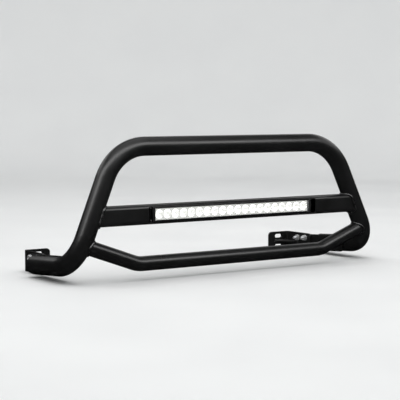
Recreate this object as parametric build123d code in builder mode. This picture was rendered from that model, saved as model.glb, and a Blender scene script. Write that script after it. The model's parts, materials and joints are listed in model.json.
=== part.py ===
from build123d import *
import os
from math import cos, radians, sin, tan

# Front grille guard with a tilting LED light bar.
# Millimetres. +X is the vehicle's left, +Y points back to the vehicle, +Z is up.
# The origin is the centre of the four slots that bolt the guard to the frame rails.

# ---- driving dimensions ----------------------------------------------------
# main hoop
HOOP_OD = 57.2              # 2 1/4 inch tube
HOOP_WALL = 2.4
HOOP_HEIGHT = 342.0         # from the feet's corner to the top tube, centre lines
HOOP_TOP_HALF = 410.0       # half width where the top and leg centre lines cross
HOOP_CORNER_R = 150.0
HOOP_FOOT_R = 90.0
HOOP_Y = -385.0             # where the centre lines of leg and foot cross
LEG_SPLAY = 23.8            # degrees from the vertical, outwards going down
LEG_RAKE = 3.5              # degrees, the top leans back and the feet slope down
FOOT_LENGTH = 245.0         # from the corner to the rear end of each foot

# lower crossbar
CROSSBAR_OD = 44.5          # 1 3/4 inch tube
CROSSBAR_WALL = 2.4
CROSSBAR_DROP = 3.0         # its flat run below the feet's corner
CROSSBAR_FLAT_HALF = 350.0  # half length between the two bends
CROSSBAR_RISE = 19.7        # degrees, slope of the two outer runs
CROSSBAR_BEND_R = 90.0

# cross-member that holds the light bar
MEMBER_HEIGHT = 58.0
MEMBER_DEPTH = 50.0
MEMBER_WALL = 2.5
MEMBER_CORNER_R = 12.0
MEMBER_RISE = 141.0         # its centre above the feet's corner
MEMBER_SET_FORWARD = 23.0   # front face ahead of the leg centre line
WINDOW_HALF = 318.0
WINDOW_HEIGHT = 46.0
WINDOW_CORNER_R = 4.0

# light bar, about its tilt axis
LIGHT_HALF = 293.0          # half length of the extruded housing
LIGHT_HEIGHT = 44.0
LIGHT_FRONT = -21.0
LIGHT_BACK = 17.0
LIGHT_EDGE_R = 3.0
CAP_THICKNESS = 8.0
CAP_CHAMFER = 0.8
CAP_GASKET = 1.0
LED_COUNT = 20
LED_PITCH = 29.0
LENS_THICKNESS = 3.0
LENS_HEIGHT = 39.0
LIP_THICKNESS = 1.5
LIT_HEIGHT = 34.0
GASKET_THICKNESS = 1.5
REFLECTOR_DEPTH = 11.0
REFLECTOR_HEIGHT = 34.0
BOARD_THICKNESS = 2.0
WEB_THICKNESS = 3.0
CHAMBER_DEPTH = 6.0
CHAMBER_HEIGHT = 24.0
CHAMBER_WALL = 2.0
FIN_COUNT = 9
FIN_THICKNESS = 2.0
GLAND_X = 235.0

# steel plates behind the hoop
TAB_THICKNESS = 8.0
TAB_SETBACK = 27.0          # outer face from the foot's centre line
TAB_LENGTH = 250.0
TAB_REAR = 44.0             # rear end behind the joint bolts' centre
TAB_HEIGHT = 56.0
TAB_CORNER_R = 12.0
BRACKET_THICKNESS = 6.0
BRACKET_HEIGHT = 66.0
BRACKET_FRONT_Y = -130.0
BRACKET_INNER_X = 436.0
BRACKET_BEND_R = 6.0
BRACKET_CORNER_R = 12.0
SLOT_X = 478.0
SLOT_SPACING_Z = 36.0
SLOT_LENGTH = 30.0
SLOT_WIDTH = 13.0
JOINT_BOLT_Y = -84.0        # centre of the four bolts that join tab and bracket
JOINT_BOLT_SPACING = 40.0
JOINT_BOLT_SPACING_Z = 32.0

# fastener sizes: thread, across flats, head height, washer
M3, M3_HEAD, M3_HEAD_H = 3.0, 5.2, 1.5
M6, M6_FLATS, M6_HEAD_H, M6_NUT_H = 6.0, 10.0, 4.0, 5.2
M8, M8_FLATS, M8_HEAD_H = 8.0, 13.0, 5.3
M10, M10_FLATS, M10_HEAD_H, M10_NUT_H = 10.0, 16.0, 6.4, 8.4
M10_WASHER_OD, M10_WASHER_H = 20.0, 2.0
M8_WASHER_OD, M8_WASHER_H = 16.0, 1.6
PIVOT_FIT = 0.08            # radial clearance of the pivot bolt in its bracket

# ---- derived places --------------------------------------------------------
HOOP_R = HOOP_OD / 2
CROSSBAR_R = CROSSBAR_OD / 2
SPLAY = tan(radians(LEG_SPLAY))
RAKE = tan(radians(LEG_RAKE))
CORNER_Z = (JOINT_BOLT_Y - HOOP_Y) * RAKE   # the joint bolts' centre is at Z = 0
HOOP_TOP_Z = CORNER_Z + HOOP_HEIGHT
MEMBER_Z = CORNER_Z + MEMBER_RISE
CROSSBAR_Z = CORNER_Z - CROSSBAR_DROP
MEMBER_INNER_H = MEMBER_HEIGHT - 2 * MEMBER_WALL
MEMBER_INNER_D = MEMBER_DEPTH - 2 * MEMBER_WALL
RIM_TAPER = 20.0            # degrees, slope of moulded rims


def leg_x(z):
    """Half width of the hoop's leg centre line at height z."""
    return HOOP_TOP_HALF + (HOOP_TOP_Z - z) * SPLAY


def leg_y(z):
    """Depth of the hoop's leg centre line at height z."""
    return HOOP_Y + (z - CORNER_Z) * RAKE


FOOT_X = leg_x(CORNER_Z)
FOOT_AXIS = Vector(0, cos(radians(LEG_RAKE)), -sin(radians(LEG_RAKE)))
FOOT_END_Y = HOOP_Y + FOOT_LENGTH * FOOT_AXIS.Y
FOOT_END_Z = CORNER_Z + FOOT_LENGTH * FOOT_AXIS.Z
MEMBER_FRONT_Y = leg_y(MEMBER_Z) - MEMBER_SET_FORWARD
PIVOT_Y = MEMBER_FRONT_Y + MEMBER_DEPTH / 2
PIVOT_Z = MEMBER_Z
CAP_INNER_X = LIGHT_HALF + CAP_GASKET
CAP_OUTER_X = CAP_INNER_X + CAP_THICKNESS
LENS_FRONT = LIGHT_FRONT + LIP_THICKNESS
LENS_BACK = LENS_FRONT + LENS_THICKNESS
REFLECTOR_FRONT = LENS_BACK + GASKET_THICKNESS
BOARD_FRONT = REFLECTOR_FRONT + REFLECTOR_DEPTH
WEB_FRONT = BOARD_FRONT + BOARD_THICKNESS
WEB_BACK = WEB_FRONT + WEB_THICKNESS
CHAMBER_BACK = WEB_BACK + CHAMBER_DEPTH
BOX_BACK = CHAMBER_BACK + CHAMBER_WALL

# A section plane across the light bar: local x is depth, local y is height.
LIGHT = Plane(origin=(0, PIVOT_Y, PIVOT_Z), x_dir=(0, 1, 0), z_dir=(1, 0, 0))


def light_front(depth):
    """Plane facing forwards at a depth of the light bar; local x runs along -X."""
    return Plane(origin=(0, PIVOT_Y + depth, PIVOT_Z), x_dir=(-1, 0, 0), z_dir=(0, 1, 0))


def ring(outer_r, inner_r):
    """A flat ring, inside the sketch that calls it."""
    Circle(outer_r)
    Circle(inner_r, mode=Mode.SUBTRACT)


def finish_part(builder, name):
    """Label a finished piece and write its file."""
    builder.part.label = name
    export_step(builder.part, f"parts/{name}.step")


os.makedirs("parts", exist_ok=True)

# ---- main hoop -------------------------------------------------------------
# One bent tube: two feet that run forwards, two splayed legs and the top.
HOOP_POINTS = [
    (-FOOT_X, FOOT_END_Y, FOOT_END_Z),
    (-FOOT_X, HOOP_Y, CORNER_Z),
    (-HOOP_TOP_HALF, leg_y(HOOP_TOP_Z), HOOP_TOP_Z),
    (HOOP_TOP_HALF, leg_y(HOOP_TOP_Z), HOOP_TOP_Z),
    (FOOT_X, HOOP_Y, CORNER_Z),
    (FOOT_X, FOOT_END_Y, FOOT_END_Z),
]
HOOP_RADII = [HOOP_FOOT_R, HOOP_CORNER_R, HOOP_CORNER_R, HOOP_FOOT_R]
HOOP_START = Plane(origin=HOOP_POINTS[0], x_dir=(1, 0, 0), z_dir=-FOOT_AXIS)

with BuildPart() as main_hoop:
    with BuildLine() as hoop_path:
        FilletPolyline(*HOOP_POINTS, radius=HOOP_RADII)
    with BuildSketch(HOOP_START):
        ring(HOOP_R, HOOP_R - HOOP_WALL)
    sweep(path=hoop_path.wires()[0])
finish_part(main_hoop, "main_hoop")

# The same hoop as a solid bar trims every piece that is welded against it.
with BuildPart() as hoop_bar:
    with BuildSketch(HOOP_START):
        Circle(HOOP_R)
    sweep(path=hoop_path.wires()[0])

PLUG_DEPTH = 18.0
PLUG_HEAD = 4.0
PLUG_WALL = 2.5

with BuildPart() as hoop_end_plugs:
    with BuildSketch(HOOP_START):
        ring(HOOP_R - HOOP_WALL, HOOP_R - HOOP_WALL - PLUG_WALL)
    extrude(amount=PLUG_DEPTH)
    with BuildSketch(HOOP_START):
        Circle(HOOP_R)
    extrude(amount=-PLUG_HEAD, taper=RIM_TAPER)
    mirror(about=Plane.YZ)
finish_part(hoop_end_plugs, "hoop_end_plugs")

# ---- lower crossbar --------------------------------------------------------
RISE = tan(radians(CROSSBAR_RISE))
CROSSBAR_LIFT = RISE * (leg_x(CROSSBAR_Z) - CROSSBAR_FLAT_HALF) / (1 + RISE * SPLAY)
CROSSBAR_END_Z = CROSSBAR_Z + CROSSBAR_LIFT
CROSSBAR_END_X = leg_x(CROSSBAR_END_Z)
CROSSBAR_POINTS = [
    (-CROSSBAR_END_X, leg_y(CROSSBAR_END_Z), CROSSBAR_END_Z),
    (-CROSSBAR_FLAT_HALF, leg_y(CROSSBAR_Z), CROSSBAR_Z),
    (CROSSBAR_FLAT_HALF, leg_y(CROSSBAR_Z), CROSSBAR_Z),
    (CROSSBAR_END_X, leg_y(CROSSBAR_END_Z), CROSSBAR_END_Z),
]

with BuildPart() as lower_crossbar:
    with BuildLine() as crossbar_path:
        FilletPolyline(*CROSSBAR_POINTS, radius=[CROSSBAR_BEND_R, CROSSBAR_BEND_R])
    crossbar_start = Plane(
        origin=CROSSBAR_POINTS[0],
        z_dir=Vector(*CROSSBAR_POINTS[1]) - Vector(*CROSSBAR_POINTS[0]),
    )
    with BuildSketch(crossbar_start):
        ring(CROSSBAR_R, CROSSBAR_R - CROSSBAR_WALL)
    sweep(path=crossbar_path.wires()[0])
    add(hoop_bar.part, mode=Mode.SUBTRACT)
finish_part(lower_crossbar, "lower_crossbar")

# ---- cross-member ----------------------------------------------------------
# A box of folded sheet, coped to the legs, with a window for the light bar.
MEMBER_END_LOW = leg_x(MEMBER_Z - MEMBER_HEIGHT / 2) - HOOP_R / 2
MEMBER_END_HIGH = leg_x(MEMBER_Z + MEMBER_HEIGHT / 2) - HOOP_R / 2
GROMMET_HOLE_R = 9.0
BRACKET_FOOT_X = 326.0
BRACKET_FOOT_SPACING = 18.0

with BuildPart() as light_crossmember:
    with BuildSketch(LIGHT):
        RectangleRounded(MEMBER_DEPTH, MEMBER_HEIGHT, MEMBER_CORNER_R)
        RectangleRounded(
            MEMBER_INNER_D, MEMBER_INNER_H, MEMBER_CORNER_R - MEMBER_WALL, mode=Mode.SUBTRACT
        )
    extrude(amount=MEMBER_END_LOW, both=True)
    # mitre both ends to the slope of the legs
    with BuildSketch(Plane.XZ.offset(-PIVOT_Y)):
        with BuildLine():
            Polyline(
                (-MEMBER_END_LOW, MEMBER_Z - MEMBER_HEIGHT / 2),
                (-MEMBER_END_HIGH, MEMBER_Z + MEMBER_HEIGHT / 2),
                (MEMBER_END_HIGH, MEMBER_Z + MEMBER_HEIGHT / 2),
                (MEMBER_END_LOW, MEMBER_Z - MEMBER_HEIGHT / 2),
                close=True,
            )
        make_face()
    extrude(amount=MEMBER_DEPTH, both=True, mode=Mode.INTERSECT)
    add(hoop_bar.part, mode=Mode.SUBTRACT)
    # the window also cuts into the rounded inner corners, behind the front wall
    with BuildSketch(light_front(-MEMBER_DEPTH / 2)):
        RectangleRounded(2 * WINDOW_HALF, WINDOW_HEIGHT, WINDOW_CORNER_R)
    extrude(amount=2 * MEMBER_WALL, mode=Mode.SUBTRACT)
    # rear wall: grommet hole behind the gland and four bracket bolt holes
    with BuildSketch(light_front(MEMBER_INNER_D / 2)):
        with Locations((-GLAND_X, 0)):
            Circle(GROMMET_HOLE_R)
        with GridLocations(2 * BRACKET_FOOT_X, BRACKET_FOOT_SPACING, 2, 2):
            Circle(M6 / 2)
    extrude(amount=MEMBER_WALL, mode=Mode.SUBTRACT)
finish_part(light_crossmember, "light_crossmember")

GROMMET_BORE_R = 5.0
GROMMET_FLANGE_R = 12.0
GROMMET_FLANGE_H = 1.5

with BuildPart() as cable_grommet:
    with BuildSketch(light_front(MEMBER_INNER_D / 2 - GROMMET_FLANGE_H)):
        with Locations((-GLAND_X, 0)):
            Circle(GROMMET_FLANGE_R)
    extrude(amount=GROMMET_FLANGE_H)
    with BuildSketch(light_front(MEMBER_INNER_D / 2)):
        with Locations((-GLAND_X, 0)):
            Circle(GROMMET_HOLE_R)
    extrude(amount=MEMBER_WALL)
    with BuildSketch(light_front(MEMBER_DEPTH / 2)):
        with Locations((-GLAND_X, 0)):
            Circle(GROMMET_FLANGE_R)
    extrude(amount=GROMMET_FLANGE_H, taper=RIM_TAPER)
    with BuildSketch(light_front(0)):
        with Locations((-GLAND_X, 0)):
            Circle(GROMMET_BORE_R)
    extrude(amount=MEMBER_DEPTH, mode=Mode.SUBTRACT)
finish_part(cable_grommet, "cable_grommet")

# ---- light brackets --------------------------------------------------------
SPACER_H = 1.9
PIVOT_SLACK = 0.1           # along the pivot, each side of the light bracket
LIGHT_BRACKET_X = CAP_OUTER_X + SPACER_H + PIVOT_SLACK
LIGHT_BRACKET_T = 3.0
LIGHT_BRACKET_HEIGHT = 34.0
LIGHT_BRACKET_FRONT = -14.0
LIGHT_BRACKET_END_X = 342.0
LIGHT_BRACKET_BACK = MEMBER_INNER_D / 2
LIGHT_BRACKET_BEND_R = 2.0
LIGHT_BRACKET_CORNER_R = 10.0
LIGHT_BOLT_LENGTH = 14.0

with BuildPart() as light_bracket_left:
    with BuildSketch(Plane.XY.offset(PIVOT_Z)):
        with BuildLine():
            Polyline(
                (LIGHT_BRACKET_X, PIVOT_Y + LIGHT_BRACKET_FRONT),
                (LIGHT_BRACKET_X + LIGHT_BRACKET_T, PIVOT_Y + LIGHT_BRACKET_FRONT),
                (LIGHT_BRACKET_X + LIGHT_BRACKET_T, PIVOT_Y + LIGHT_BRACKET_BACK - LIGHT_BRACKET_T),
                (LIGHT_BRACKET_END_X, PIVOT_Y + LIGHT_BRACKET_BACK - LIGHT_BRACKET_T),
                (LIGHT_BRACKET_END_X, PIVOT_Y + LIGHT_BRACKET_BACK),
                (LIGHT_BRACKET_X, PIVOT_Y + LIGHT_BRACKET_BACK),
                close=True,
            )
        make_face()
    extrude(amount=LIGHT_BRACKET_HEIGHT / 2, both=True)
    rear_uprights = light_bracket_left.edges().filter_by(Axis.Z).group_by(Axis.Y)[-1]
    fillet(rear_uprights.sort_by(Axis.X)[0], LIGHT_BRACKET_BEND_R)
    front_corners = light_bracket_left.faces().sort_by(Axis.Y)[0].edges().filter_by(Axis.X)
    fillet(front_corners, LIGHT_BRACKET_CORNER_R)
    with BuildSketch(LIGHT.offset(LIGHT_BRACKET_X)):
        Circle(M8 / 2 + PIVOT_FIT)
    extrude(amount=LIGHT_BRACKET_T, mode=Mode.SUBTRACT)
    with BuildSketch(light_front(LIGHT_BRACKET_BACK - LIGHT_BRACKET_T)):
        with Locations((-BRACKET_FOOT_X, 0)):
            with GridLocations(0, BRACKET_FOOT_SPACING, 1, 2):
                Circle(M6 / 2)
    extrude(amount=LIGHT_BRACKET_T, mode=Mode.SUBTRACT)
finish_part(light_bracket_left, "light_bracket_left")

with BuildPart() as light_bracket_right:
    mirror(light_bracket_left.part, about=Plane.YZ)
finish_part(light_bracket_right, "light_bracket_right")

with BuildPart() as light_bracket_bolts:
    with BuildSketch(light_front(MEMBER_DEPTH / 2)):
        with GridLocations(2 * BRACKET_FOOT_X, BRACKET_FOOT_SPACING, 2, 2):
            RegularPolygon(M6_FLATS / 2, 6, major_radius=False)
    extrude(amount=M6_HEAD_H)
    with BuildSketch(light_front(MEMBER_DEPTH / 2)):
        with GridLocations(2 * BRACKET_FOOT_X, BRACKET_FOOT_SPACING, 2, 2):
            Circle(M6 / 2)
    extrude(amount=-LIGHT_BOLT_LENGTH)
finish_part(light_bracket_bolts, "light_bracket_bolts")

with BuildPart() as light_bracket_nuts:
    with BuildSketch(light_front(LIGHT_BRACKET_BACK - LIGHT_BRACKET_T)):
        with GridLocations(2 * BRACKET_FOOT_X, BRACKET_FOOT_SPACING, 2, 2):
            RegularPolygon(M6_FLATS / 2, 6, major_radius=False)
            Circle(M6 / 2, mode=Mode.SUBTRACT)
    extrude(amount=-M6_NUT_H)
finish_part(light_bracket_nuts, "light_bracket_nuts")

# ---- light bar -------------------------------------------------------------
FIN_SPAN = LIGHT_HEIGHT - FIN_THICKNESS
SCREW_BOSS_R = 3.2
SCREW_BOSS = (5.0, 17.5)
FRONT_SCREW = (-9.0, 19.2)
SCREW_PILOT = 14.0
SCREW_SPOTS = [
    (depth, side * height)
    for depth, height in (SCREW_BOSS, FRONT_SCREW)
    for side in (-1, 1)
]
GLAND_POCKET = 20.0
BREATHER_POCKET = 15.0
GLAND_THREAD_R = 4.0
BREATHER_THREAD_R = 3.0

with BuildPart() as light_housing:
    with BuildSketch(LIGHT):
        with Locations(((LIGHT_FRONT + WEB_BACK) / 2, 0)):
            Rectangle(WEB_BACK - LIGHT_FRONT, LIGHT_HEIGHT)
        with Locations(((WEB_BACK + BOX_BACK) / 2, 0)):
            Rectangle(BOX_BACK - WEB_BACK, CHAMBER_HEIGHT + 2 * CHAMBER_WALL)
        with Locations(((WEB_FRONT + LIGHT_BACK) / 2, 0)):
            with GridLocations(0, FIN_SPAN / (FIN_COUNT - 1), 1, FIN_COUNT):
                Rectangle(LIGHT_BACK - WEB_FRONT, FIN_THICKNESS)
        with Locations((SCREW_BOSS[0], 0)):
            with GridLocations(0, 2 * SCREW_BOSS[1], 1, 2):
                Circle(SCREW_BOSS_R)
        with Locations(((LIGHT_FRONT + LENS_FRONT) / 2, 0)):
            Rectangle(LIP_THICKNESS, LIT_HEIGHT, mode=Mode.SUBTRACT)
        with Locations(((LENS_FRONT + REFLECTOR_FRONT) / 2, 0)):
            Rectangle(REFLECTOR_FRONT - LENS_FRONT, LENS_HEIGHT, mode=Mode.SUBTRACT)
        with Locations(((REFLECTOR_FRONT + WEB_FRONT) / 2, 0)):
            Rectangle(WEB_FRONT - REFLECTOR_FRONT, REFLECTOR_HEIGHT, mode=Mode.SUBTRACT)
        with Locations(((WEB_BACK + CHAMBER_BACK) / 2, 0)):
            Rectangle(CHAMBER_DEPTH, CHAMBER_HEIGHT, mode=Mode.SUBTRACT)
    extrude(amount=LIGHT_HALF, both=True)
    # round the two long front edges
    front_edges = light_housing.edges().filter_by(Axis.X).group_by(Axis.Y)[0]
    fillet([front_edges.sort_by(Axis.Z)[0], front_edges.sort_by(Axis.Z)[-1]], LIGHT_EDGE_R)
    # clear the fins round the gland and the breather, and drill their holes
    with BuildSketch(light_front(BOX_BACK)):
        with Locations((-GLAND_X, 0)):
            Rectangle(GLAND_POCKET, GLAND_POCKET)
        with Locations((GLAND_X, 0)):
            Rectangle(BREATHER_POCKET, BREATHER_POCKET)
    extrude(amount=LIGHT_BACK - BOX_BACK, mode=Mode.SUBTRACT)
    with BuildSketch(light_front(CHAMBER_BACK)):
        with Locations((-GLAND_X, 0)):
            Circle(GLAND_THREAD_R)
        with Locations((GLAND_X, 0)):
            Circle(BREATHER_THREAD_R)
    extrude(amount=CHAMBER_WALL, mode=Mode.SUBTRACT)
    for end in (-1, 1):
        with BuildSketch(LIGHT.offset(end * LIGHT_HALF)):
            with Locations(*SCREW_SPOTS):
                Circle(M3 / 2)
        extrude(amount=-end * SCREW_PILOT, mode=Mode.SUBTRACT)
finish_part(light_housing, "light_housing")

with BuildPart() as light_lens:
    with BuildSketch(LIGHT):
        with Locations(((LENS_FRONT + LENS_BACK) / 2, 0)):
            Rectangle(LENS_THICKNESS, LENS_HEIGHT)
    extrude(amount=LIGHT_HALF, both=True)
finish_part(light_lens, "light_lens")

LENS_SEAL_LAND = 2.5

with BuildPart() as lens_gasket:
    with BuildSketch(light_front(LENS_BACK)):
        Rectangle(2 * LIGHT_HALF, LENS_HEIGHT)
        Rectangle(
            2 * (LIGHT_HALF - LENS_SEAL_LAND), LENS_HEIGHT - 2 * LENS_SEAL_LAND, mode=Mode.SUBTRACT
        )
    extrude(amount=GASKET_THICKNESS)
finish_part(lens_gasket, "lens_gasket")

CUP_MOUTH_R = 13.6
CUP_THROAT_R = 3.6
EMITTER_SIDE = 4.6
EMITTER_HEIGHT = 1.2

with BuildPart() as reflector_array:
    with BuildSketch(light_front(REFLECTOR_FRONT)):
        Rectangle(LED_COUNT * LED_PITCH, REFLECTOR_HEIGHT)
    extrude(amount=REFLECTOR_DEPTH)
    with GridLocations(LED_PITCH, 0, LED_COUNT, 1) as cup_places:
        cup_x = [place.position.X for place in cup_places.locations]
    for x in cup_x:
        with BuildSketch(Plane(origin=(x, PIVOT_Y, PIVOT_Z), x_dir=(0, 1, 0), z_dir=(0, 0, 1))):
            with BuildLine():
                Polyline(
                    (REFLECTOR_FRONT, 0), (REFLECTOR_FRONT, CUP_MOUTH_R),
                    (REFLECTOR_FRONT + REFLECTOR_DEPTH, CUP_THROAT_R),
                    (REFLECTOR_FRONT + REFLECTOR_DEPTH, 0), close=True,
                )
            make_face()
        cup_axis = Axis((x, PIVOT_Y, PIVOT_Z), (0, 1, 0))
        revolve(axis=cup_axis, mode=Mode.SUBTRACT)
finish_part(reflector_array, "reflector_array")

with BuildPart() as led_board:
    with BuildSketch(light_front(BOARD_FRONT)):
        Rectangle(LED_COUNT * LED_PITCH, REFLECTOR_HEIGHT)
    extrude(amount=BOARD_THICKNESS)
finish_part(led_board, "led_board")

with BuildPart() as led_emitters:
    with BuildSketch(light_front(BOARD_FRONT)):
        with GridLocations(LED_PITCH, 0, LED_COUNT, 1):
            Rectangle(EMITTER_SIDE, EMITTER_SIDE)
    extrude(amount=-EMITTER_HEIGHT)
finish_part(led_emitters, "led_emitters")

DRIVER_LENGTH = 160.0
DRIVER_HEIGHT = 22.0
DRIVER_DEPTH = 5.5
DRIVER_CORNER_R = 2.0

with BuildPart() as driver_module:
    with BuildSketch(light_front(WEB_BACK)):
        RectangleRounded(DRIVER_LENGTH, DRIVER_HEIGHT, DRIVER_CORNER_R)
    extrude(amount=DRIVER_DEPTH)
finish_part(driver_module, "driver_module")


def cap_outline():
    """Outline of the light bar's end, on the section plane."""
    with Locations(((LIGHT_FRONT + LIGHT_BACK) / 2, 0)):
        RectangleRounded(LIGHT_BACK - LIGHT_FRONT, LIGHT_HEIGHT, LIGHT_EDGE_R)


def screw_holes():
    """The four end screws' holes, on the section plane."""
    with Locations(*SCREW_SPOTS):
        Circle(M3 / 2, mode=Mode.SUBTRACT)


with BuildPart() as end_cap_gaskets:
    with BuildSketch(LIGHT.offset(LIGHT_HALF)):
        cap_outline()
        screw_holes()
    extrude(amount=CAP_GASKET)
    mirror(about=Plane.YZ)
finish_part(end_cap_gaskets, "end_cap_gaskets")

with BuildPart() as end_cap_left:
    with BuildSketch(LIGHT.offset(CAP_INNER_X)):
        cap_outline()
        screw_holes()
    extrude(amount=CAP_THICKNESS)
    chamfer(end_cap_left.faces().sort_by(Axis.X)[-1].outer_wire().edges(), CAP_CHAMFER)
    with BuildSketch(LIGHT.offset(CAP_OUTER_X)):
        Circle(M8 / 2)
    extrude(amount=-CAP_THICKNESS, mode=Mode.SUBTRACT)
finish_part(end_cap_left, "end_cap_left")

with BuildPart() as end_cap_right:
    mirror(end_cap_left.part, about=Plane.YZ)
finish_part(end_cap_right, "end_cap_right")

with BuildPart() as end_cap_screws:
    with BuildSketch(LIGHT.offset(CAP_OUTER_X)):
        with Locations(*SCREW_SPOTS):
            Circle(M3_HEAD / 2)
    extrude(amount=M3_HEAD_H)
    with BuildSketch(LIGHT.offset(CAP_OUTER_X)):
        with Locations(*SCREW_SPOTS):
            Circle(M3 / 2)
    extrude(amount=-(CAP_THICKNESS + CAP_GASKET + SCREW_PILOT))
    mirror(about=Plane.YZ)
finish_part(end_cap_screws, "end_cap_screws")

# ---- tilt pivots -----------------------------------------------------------
WASHER_X = LIGHT_BRACKET_X + LIGHT_BRACKET_T + PIVOT_SLACK
PIVOT_HEAD_X = WASHER_X + M8_WASHER_H

with BuildPart() as pivot_bolts:
    with BuildSketch(LIGHT.offset(PIVOT_HEAD_X)):
        RegularPolygon(M8_FLATS / 2, 6, major_radius=False)
    extrude(amount=M8_HEAD_H)
    with BuildSketch(LIGHT.offset(PIVOT_HEAD_X)):
        Circle(M8 / 2)
    extrude(amount=CAP_INNER_X - PIVOT_HEAD_X)
    mirror(about=Plane.YZ)
finish_part(pivot_bolts, "pivot_bolts")

with BuildPart() as pivot_washers:
    with BuildSketch(LIGHT.offset(WASHER_X)):
        ring(M8_WASHER_OD / 2, M8 / 2)
    extrude(amount=M8_WASHER_H)
    mirror(about=Plane.YZ)
finish_part(pivot_washers, "pivot_washers")

with BuildPart() as pivot_spacers:
    with BuildSketch(LIGHT.offset(CAP_OUTER_X)):
        ring(M8_WASHER_OD / 2, M8 / 2)
    extrude(amount=SPACER_H)
    mirror(about=Plane.YZ)
finish_part(pivot_spacers, "pivot_spacers")

# ---- gland and breather ----------------------------------------------------
GLAND_FLATS = 14.0
GLAND_BODY_H = 3.5
GLAND_NUT_R = 5.5
GLAND_NUT_H = 5.5
GLAND_NUT_EDGE_R = 1.5
GLAND_BORE_R = 2.2
BREATHER_R = 5.0
BREATHER_H = 4.0
BREATHER_EDGE_R = 1.2

with BuildPart() as cable_gland:
    with BuildSketch(light_front(BOX_BACK)):
        with Locations((-GLAND_X, 0)):
            RegularPolygon(GLAND_FLATS / 2, 6, major_radius=False)
    extrude(amount=GLAND_BODY_H)
    with BuildSketch(light_front(BOX_BACK)):
        with Locations((-GLAND_X, 0)):
            Circle(GLAND_THREAD_R)
    extrude(amount=-CHAMBER_WALL)
    with BuildSketch(light_front(CHAMBER_BACK)):
        with Locations((-GLAND_X, 0)):
            Circle(GLAND_BORE_R)
    extrude(amount=CHAMBER_WALL + GLAND_BODY_H, mode=Mode.SUBTRACT)
finish_part(cable_gland, "cable_gland")

with BuildPart() as gland_nut:
    with BuildSketch(light_front(BOX_BACK + GLAND_BODY_H)):
        with Locations((-GLAND_X, 0)):
            ring(GLAND_NUT_R, GLAND_BORE_R)
    extrude(amount=GLAND_NUT_H)
    fillet(gland_nut.faces().sort_by(Axis.Y)[-1].outer_wire().edges(), GLAND_NUT_EDGE_R)
finish_part(gland_nut, "gland_nut")

with BuildPart() as breather_plug:
    with BuildSketch(light_front(BOX_BACK)):
        with Locations((GLAND_X, 0)):
            Circle(BREATHER_R)
    extrude(amount=BREATHER_H)
    fillet(breather_plug.faces().sort_by(Axis.Y)[-1].outer_wire().edges(), BREATHER_EDGE_R)
    with BuildSketch(light_front(BOX_BACK)):
        with Locations((GLAND_X, 0)):
            Circle(BREATHER_THREAD_R)
    extrude(amount=-CHAMBER_WALL)
finish_part(breather_plug, "breather_plug")

# ---- leg tabs and frame brackets -------------------------------------------
TAB_OUTER_X = FOOT_X - TAB_SETBACK
TAB_INNER_X = TAB_OUTER_X - TAB_THICKNESS


def joint_bolt_places():
    """Places of the four bolts through tab and bracket, on a joint plane."""
    return GridLocations(JOINT_BOLT_SPACING, JOINT_BOLT_SPACING_Z, 2, 2)


def joint_plane(x):
    """Plane square to X at the joint bolts' centre; local x runs back along the foot."""
    return Plane(origin=(x, JOINT_BOLT_Y, 0), x_dir=FOOT_AXIS, z_dir=(1, 0, 0))


with BuildPart() as leg_tab_left:
    with BuildSketch(joint_plane(TAB_INNER_X)):
        with Locations((TAB_REAR - TAB_LENGTH / 2, 0)):
            RectangleRounded(TAB_LENGTH, TAB_HEIGHT, TAB_CORNER_R)
    extrude(amount=TAB_THICKNESS)
    with BuildSketch(joint_plane(TAB_INNER_X)):
        with joint_bolt_places():
            Circle(M10 / 2)
    extrude(amount=TAB_THICKNESS, mode=Mode.SUBTRACT)
    add(hoop_bar.part, mode=Mode.SUBTRACT)
    add(hoop_end_plugs.part, mode=Mode.SUBTRACT)
finish_part(leg_tab_left, "leg_tab_left")

with BuildPart() as leg_tab_right:
    mirror(leg_tab_left.part, about=Plane.YZ)
finish_part(leg_tab_right, "leg_tab_right")

WEB_INNER_X = TAB_INNER_X - BRACKET_THICKNESS
GUSSET_X = 60.0
GUSSET_Y = 62.0

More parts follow.
